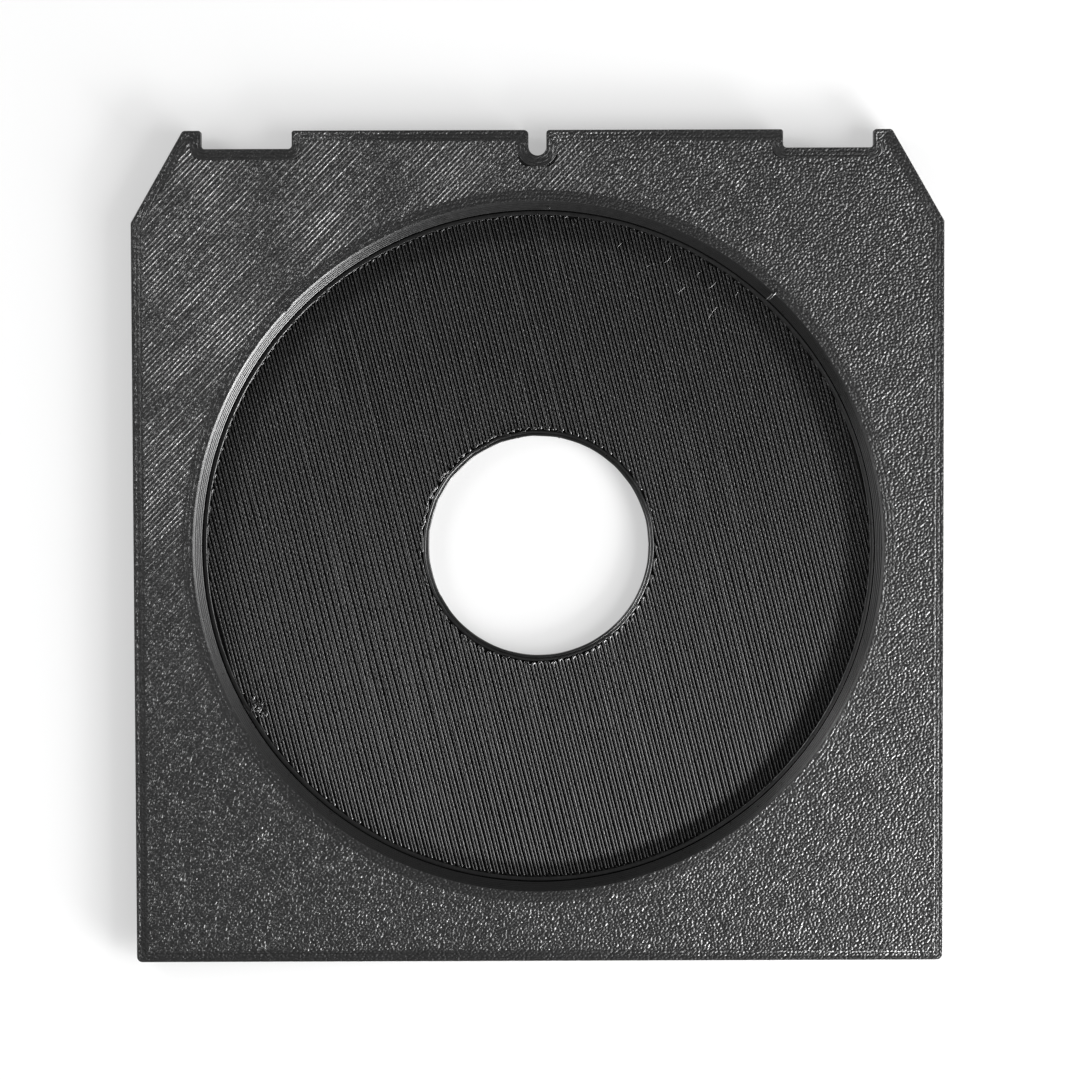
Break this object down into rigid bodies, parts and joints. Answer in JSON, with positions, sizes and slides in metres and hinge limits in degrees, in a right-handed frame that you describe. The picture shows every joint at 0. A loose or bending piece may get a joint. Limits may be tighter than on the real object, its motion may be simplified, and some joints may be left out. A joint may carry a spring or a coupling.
{
  "type": "recessed lens board",
  "caption": "Rectangular camera or enlarger lens board with a shallow round recess, a plain lens hole on its axis and a notched, chamfered top edge.",
  "frame": {"origin": "on the lens axis, in the plane of the rear boss face that the board lies on", "axes": "+Z along the lens axis out of the front face, +Y in the board's plane towards the notched top edge, +X to the right seen from the front"},
  "size_m": [0.096, 0.0986, 0.0028],
  "materials": {
    "black_plastic": "black 3D-printed plastic: textured front face from the print bed, fine line ribs on the recess floor, satin layer lines on the walls"
  },
  "bodies": {
    "root": {"lens_board": "black_plastic"}
  },
  "joints": []
}
